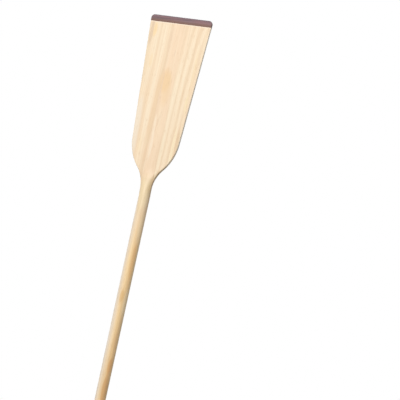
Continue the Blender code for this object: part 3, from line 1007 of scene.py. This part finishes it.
SPINE_LOOK = {
    **BASE_LOOK,
    "on_blade": True,
    "seed": 5.6,
    "tones": MIDDLE_TONES,
    "shaft_tones": SHAFT_TONES,
    "pith": (0.004, -0.110, 0.010),
    "spots": YELLOW_STAIN + [
        # Darker wood along the left seam
        face_spot(-0.0180, 1.060, 0.0050, 0.070, (241, 211, 177), 0.80),
        face_spot(-0.0185, 0.960, 0.0032, 0.050, (240, 208, 170), 0.80),
        face_spot(-0.0185, 1.200, 0.0030, 0.080, (238, 211, 180), 0.70),
        # Two small dark flecks
        face_spot(0.0015, 1.168, 0.0014, 0.012, (232, 202, 172), 0.60),
        face_spot(-0.0040, 0.976, 0.0016, 0.016, (232, 202, 168), 0.60),
        # Pale streaks above the neck, and a dark one by the right seam
        face_spot(-0.0120, 0.962, 0.0042, 0.036, (253, 232, 201), 0.70),
        face_spot(-0.0095, 0.905, 0.0045, 0.050, (254, 234, 206), 0.70),
        face_spot(0.0150, 0.890, 0.0030, 0.040, (237, 206, 170), 0.60),
        # Yellow neck, and pale spots on the shaft's left, which are painted light
        spot_at((0.0000, -NECK_R, 0.775), (0.0220, 0.020, 0.060), (252, 229, 186), 0.75),
        spot_at((-0.0150, -0.0060, 0.732), (0.0080, 0.015, 0.055), (255, 241, 221), 0.70),
        spot_at((-0.0120, -0.0080, 0.375), (0.0060, 0.012, 0.045), (255, 240, 221), 0.60),
        # Knot on the shaft with the brown wood above it
        spot_at((0.0100, -0.0110, 0.590), (0.0060, 0.012, 0.060), (243, 194, 132), 0.60),
        spot_at((0.0025, -NECK_R, 0.495), (0.0070, 0.012, 0.026), (228, 184, 120), 0.70),
        # Paler and browner stretches on the shaft's right
        spot_at((0.0125, -0.0090, 0.478), (0.0040, 0.012, 0.045), (255, 230, 188), 0.70),
        spot_at((0.0100, -0.0110, 0.680), (0.0050, 0.012, 0.050), (255, 228, 184), 0.60),
        spot_at((0.0100, -0.0110, 0.375), (0.0050, 0.012, 0.030), (238, 196, 144), 0.50),
        spot_at((0.0100, -0.0110, 0.310), (0.0060, 0.012, 0.025), (234, 180, 120), 0.80),
        spot_at((0.0090, -0.0110, 0.245), (0.0090, 0.012, 0.045), (228, 178, 120), 0.80),
    ],
}
HANDLE_LOOK = {
    **BASE_LOOK,
    "turn": ALONG_X,
    "seed": 9.3,
    "tones": HANDLE_TONES,
    "pith": (0.06, 0.03, 0.05),
    "ring": 0.0045,
}
STRIP_LOOK = {
    "turn": ALONG_X,
    "dark": srgb(104, 78, 82),
    "light": srgb(134, 102, 107),
    "red": srgb(142, 97, 98),
    "brown": srgb(120, 82, 61),
    "pore": srgb(80, 58, 58),
    "worn": srgb(116, 104, 112),
    "ends": srgb(92, 76, 76),
    "bump": 0.00006,
}
PIN_LOOK = {
    "pale": srgb(205, 160, 112),
    "dark": srgb(150, 106, 66),
    "pith": (0.0016, -0.006),
    "ring": 0.0009,
    "bump": 0.00005,
}

# Dress the part
spine = build_spine()
wing_left = build_wing(-1, "paddle_left_board")
wing_right = build_wing(1, "paddle_right_board")
tip = build_tip()
cut_slots([spine, wing_left, wing_right, tip])
grip = build_grip()
pin = build_pin()
for piece, node, slot, material in (
        (spine, "shaft_spine", "shaft_wood", softwood("wood_middle_strip", SPINE_LOOK)),
        (wing_left, "wing_left", "left_board_wood", softwood("wood_left_board", LEFT_LOOK)),
        (wing_right, "wing_right", "right_board_wood", softwood("wood_right_board", RIGHT_LOOK)),
        (tip, "blade_tip", "tip_hardwood", hardwood("wood_tip_strip", STRIP_LOOK)),
        (grip, "t_grip", "handle_wood", softwood("wood_handle", HANDLE_LOOK)),
        (pin, "grip_dowel_pin", "pin_wood", end_grain("wood_pin", PIN_LOOK))):
    piece.data.materials.clear()
    piece.data.materials.append(material)
    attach(piece, "root")
    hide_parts(node)
# The hidden tongue keeps its solid
hidden_wood = softwood("wood_loose_tongue", {**BASE_LOOK, "turn": ALONG_X, "seed": 2.2})
for material_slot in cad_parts["tip_spline"].material_slots:
    material_slot.material = hidden_wood

# Studio
FLOOR_RADIUS = 2.6
FADE_FROM = 1.1
FADE_TO = 2.4
WORLD_LIGHT = 0.37
WHITE = (1.0, 1.0, 1.0, 1.0)


def build_floor():
    """Pale round floor that keeps the shadow and fades to white at its rim."""
    bm = bmesh.new()
    bmesh.ops.create_circle(bm, cap_ends=True, segments=96, radius=FLOOR_RADIUS)
    floor = new_piece(bm, "studio_floor")
    material, g, shader = new_material("studio_floor")
    seen = g.seen_rays()
    dust = g.noise(4.0, 4.0, detail=3.0)
    pale = g.mix(g.step(dust, 0.3, 0.7), srgb(238, 238, 238), srgb(234, 234, 233))
    # Pale where it is seen, but darker for the light that it throws back onto the paddle
    g.feed(shader.inputs["Base Color"], g.mix(seen, srgb(118, 118, 118), pale))
    g.feed(shader.inputs["Roughness"], g.step(dust, 0.2, 0.8, 0.8, 0.95))
    shader.inputs["Specular IOR Level"].default_value = 0.0
    white = g.add("ShaderNodeEmission", {"Color": WHITE, "Strength": 1.0})
    rim = g.step(g.vector("LENGTH", g.grain_space()), FADE_FROM, FADE_TO)
    inputs = {0: g.math("MULTIPLY", seen, rim), 1: shader.outputs[0], 2: white.outputs[0]}
    blend = g.add("ShaderNodeMixShader", inputs)
    g.feed(g.tree.nodes["Material Output"].inputs["Surface"], blend.outputs[0])
    floor.data.materials.append(material)


def build_world():
    """White where it is seen, and a soft even light for everything else."""
    world = bpy.data.worlds.new("studio")
    bpy.context.scene.world = world
    world.use_nodes = True
    g = Graph(world.node_tree)
    light = world.node_tree.nodes["Background"]
    light.inputs["Color"].default_value = WHITE
    light.inputs["Strength"].default_value = WORLD_LIGHT
    white = g.add("ShaderNodeBackground", {"Color": WHITE, "Strength": 1.0})
    choose = g.add("ShaderNodeMixShader", {0: g.seen_rays(), 1: light.outputs[0], 2: white.outputs[0]})
    g.feed(world.node_tree.nodes["World Output"].inputs["Surface"], choose.outputs[0])


def direction(azimuth_deg, elevation_deg):
    """Unit vector from the paddle towards a place around it; azimuth 0 is in front, 90 to its right."""
    a = math.radians(azimuth_deg)
    e = math.radians(elevation_deg)
    return Vector((math.sin(a) * math.cos(e), -math.cos(a) * math.cos(e), math.sin(e)))


def add_lamp(name, azimuth_deg, elevation_deg, distance, size, power):
    """Square soft light aimed at the blade's root."""
    towards = direction(azimuth_deg, elevation_deg)
    data = bpy.data.lights.new(name, "AREA")
    data.shape = "SQUARE"
    data.size = size
    data.energy = power
    lamp = bpy.data.objects.new(name, data)
    lamp.location = Vector((0.0, 0.0, NECK_Z)) + towards * distance
    lamp.rotation_euler = towards.to_track_quat("Z", "Y").to_euler()
    bpy.context.scene.collection.objects.link(lamp)


build_floor()
build_world()
add_lamp("key_light", azimuth_deg=-7, elevation_deg=20, distance=7.0, size=3.6, power=337)
add_lamp("left_light", azimuth_deg=236, elevation_deg=25, distance=5.0, size=3.0, power=26)
add_lamp("rear_light", azimuth_deg=200, elevation_deg=35, distance=6.0, size=3.0, power=245)

# Camera: where it stands, its roll, and where a point of the blade falls in the picture
CAMERA_AZIMUTH_DEG = 16.12
CAMERA_ELEVATION_DEG = -8.03
CAMERA_ROLL_DEG = 11.90
CAMERA_DISTANCE = 3.2
AIM = Vector((0.0, 0.0, 0.95))
AIM_PIXEL_X = 158.55
AIM_PIXEL_Y = 130.94
PIXELS_PER_METRE = 370.96
PICTURE_PIXELS = 400
SENSOR_MM = 36.0


def add_camera():
    """Camera that sees the paddle as the photo does, without shift or depth of field."""
    back = direction(CAMERA_AZIMUTH_DEG, CAMERA_ELEVATION_DEG)
    level = Vector((-back.y, back.x, 0.0)).normalized()
    upright = back.cross(level)
    roll = math.radians(CAMERA_ROLL_DEG)
    right = level * math.cos(roll) + upright * math.sin(roll)
    up = upright * math.cos(roll) - level * math.sin(roll)
    aside = right * (AIM_PIXEL_X - PICTURE_PIXELS / 2) - up * (AIM_PIXEL_Y - PICTURE_PIXELS / 2)
    eye = AIM + back * CAMERA_DISTANCE - aside / PIXELS_PER_METRE
    data = bpy.data.cameras.new("camera")
    data.sensor_width = SENSOR_MM
    data.lens = SENSOR_MM * PIXELS_PER_METRE * CAMERA_DISTANCE / PICTURE_PIXELS
    camera = bpy.data.objects.new("camera", data)
    camera.matrix_world = Matrix.Translation(eye) @ Matrix((right, up, back)).transposed().to_4x4()
    bpy.context.scene.collection.objects.link(camera)
    bpy.context.scene.camera = camera


add_camera()
bpy.context.scene.view_settings.view_transform = "Standard"
